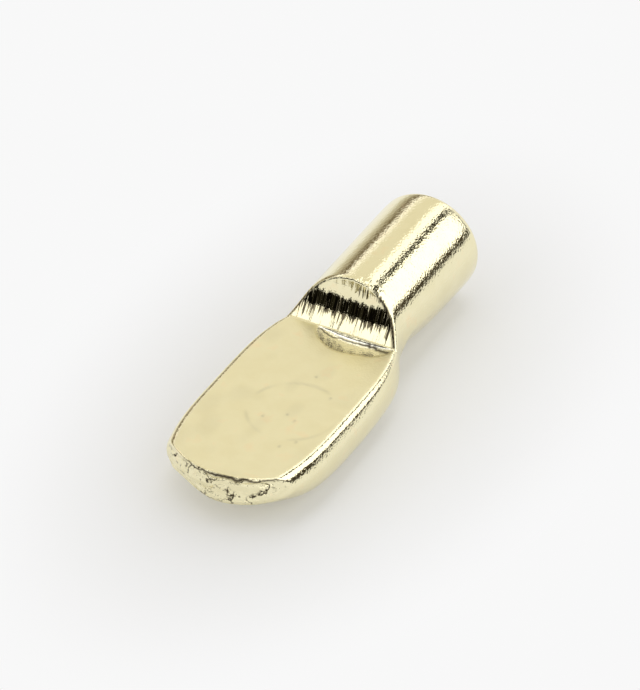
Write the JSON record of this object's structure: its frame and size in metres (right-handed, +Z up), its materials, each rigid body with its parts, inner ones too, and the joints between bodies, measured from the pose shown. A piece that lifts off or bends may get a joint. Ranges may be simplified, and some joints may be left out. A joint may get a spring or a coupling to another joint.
{
  "type": "shelf support pin",
  "caption": "Spoon-style shelf support: a round pin for a cabinet-side hole, with a flat-topped spoon that carries the shelf.",
  "frame": {"origin": "on the pin's axis at the shoulder, where the pin becomes fully round", "axes": "+X along the pin towards its free end, +Z up out of the flat that carries the shelf"},
  "size_m": [0.0202, 0.0074, 0.005],
  "materials": {
    "plated_brass": "polished plating"
  },
  "bodies": {
    "root": {"shelf_support_pin": "plated_brass"}
  },
  "joints": []
}
